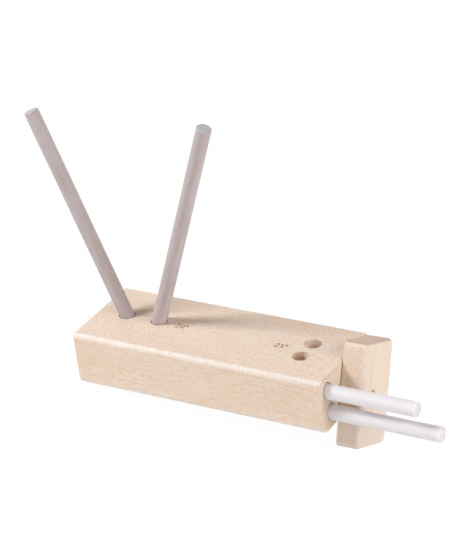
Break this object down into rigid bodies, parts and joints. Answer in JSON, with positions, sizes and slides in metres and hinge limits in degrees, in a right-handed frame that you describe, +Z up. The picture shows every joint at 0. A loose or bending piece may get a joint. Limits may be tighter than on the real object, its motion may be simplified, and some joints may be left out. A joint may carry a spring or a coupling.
{
  "type": "ceramic rod knife sharpener",
  "caption": "Wooden block knife sharpener with ceramic rods standing in a V in leaning sockets, more rods in storage bores and an end cap that turns on a screw.",
  "frame": {"origin": "centre of the block's flat underside", "axes": "+X along the block towards the turn cap, +Y to the back, +Z up, out of the face with the sockets"},
  "size_m": [0.2143, 0.0498, 0.1543],
  "materials": {
    "beech": "sanded, lightly oiled beech",
    "screw_steel": "plain steel",
    "medium_ceramic": "matt grey-mauve alumina",
    "fine_ceramic": "matt white alumina"
  },
  "bodies": {
    "block": {"base_block": "beech", "pivot_screw": "screw_steel", "spacer_washer": "screw_steel"},
    "cap": {"turn_cap": "beech"},
    "left_rod": {"medium_rod_left": "medium_ceramic"},
    "right_rod": {"medium_rod_right": "medium_ceramic"},
    "upper_rod": {"fine_rod_upper": "fine_ceramic"},
    "lower_rod": {"fine_rod_lower": "fine_ceramic"}
  },
  "joints": [
    {"name": "cap_turn", "type": "hinge", "parent": "block", "child": "cap", "pos_m": [0.07306, 0, 0.00932], "axis": [0.9997, 0, 0.0262], "range_deg": [-13, 44]},
    {"name": "left_rod_lift", "type": "slide", "parent": "block", "child": "left_rod", "axis": [-0.342, 0, 0.9397], "range_m": [0, 0.13]},
    {"name": "right_rod_lift", "type": "slide", "parent": "block", "child": "right_rod", "axis": [0.342, 0, 0.9397], "range_m": [0, 0.13]},
    {"name": "upper_rod_draw", "type": "slide", "parent": "block", "child": "upper_rod", "axis": [1, 0, 0], "range_m": [-0.04693, 0.0837]},
    {"name": "lower_rod_draw", "type": "slide", "parent": "block", "child": "lower_rod", "axis": [1, 0, 0], "range_m": [-0.05733, 0.073]}
  ]
}
